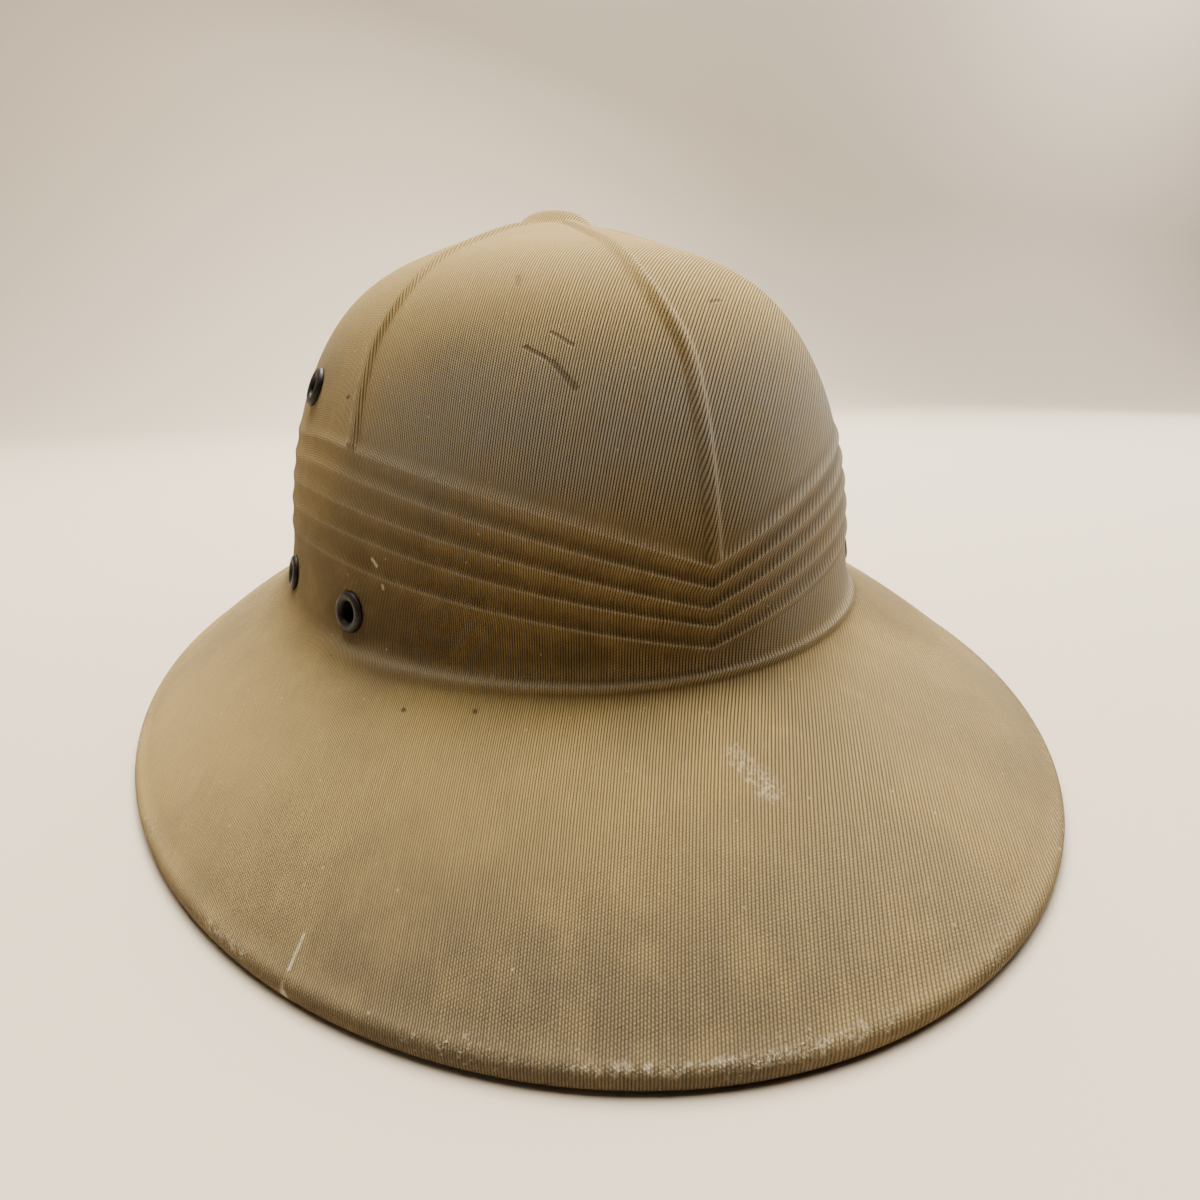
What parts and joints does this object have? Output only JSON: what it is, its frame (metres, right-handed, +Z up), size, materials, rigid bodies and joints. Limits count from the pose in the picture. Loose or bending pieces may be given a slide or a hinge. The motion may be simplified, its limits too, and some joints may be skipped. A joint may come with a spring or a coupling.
{
  "type": "pith helmet",
  "caption": "Khaki cloth-covered pith helmet with moulded ribs, pleated band dipping to a V, knob on top, sloping oval brim and dark ventilation eyelets.",
  "frame": {"origin": "on the surface that the rim stands on, below the middle of the brim's oval", "axes": "-Y towards the front of the helmet, +X towards the wearer's left, +Z up"},
  "size_m": [0.28, 0.344, 0.1428],
  "materials": {
    "cloth": "khaki cotton drill bonded to pressed fibre, worn",
    "eyelet_metal": "dark japanned metal, satin, worn"
  },
  "bodies": {
    "root": {"shell": "cloth", "eyelet_left_low_front": "eyelet_metal", "eyelet_left_low_rear": "eyelet_metal", "eyelet_left_high": "eyelet_metal", "eyelet_right_low_front": "eyelet_metal", "eyelet_right_low_rear": "eyelet_metal", "eyelet_right_high": "eyelet_metal"}
  },
  "joints": []
}
